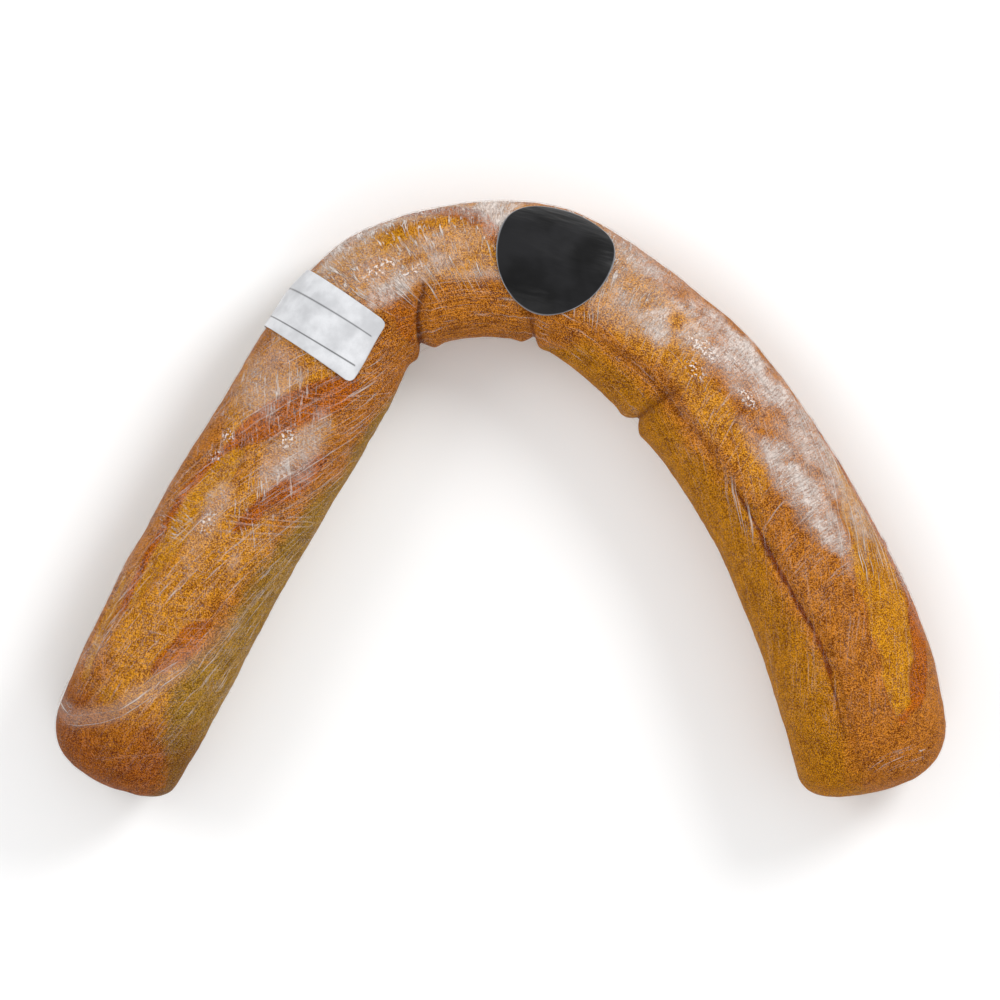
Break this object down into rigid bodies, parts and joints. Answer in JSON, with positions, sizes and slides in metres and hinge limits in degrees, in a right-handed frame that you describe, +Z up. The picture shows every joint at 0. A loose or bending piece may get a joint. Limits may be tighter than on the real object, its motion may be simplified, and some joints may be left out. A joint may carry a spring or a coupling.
{
  "type": "baguette",
  "caption": "Soft baguette bent into an arch and wrapped in clear cling film, with a blank round black sticker and a blank oblong pale sticker.",
  "frame": {"origin": "on the table, under the middle of the arch's box", "axes": "+X across the arch from its left leg to its right leg, +Y towards the crown of the arch, +Z up"},
  "size_m": [0.3834, 0.2574, 0.0638],
  "materials": {
    "crust": "matte",
    "film": "gloss",
    "black_sticker": "satin",
    "pale_sticker": "satin"
  },
  "bodies": {
    "root": {"loaf": "crust", "film_wrap": "film", "round_sticker": "black_sticker", "long_sticker": "pale_sticker"}
  },
  "joints": []
}
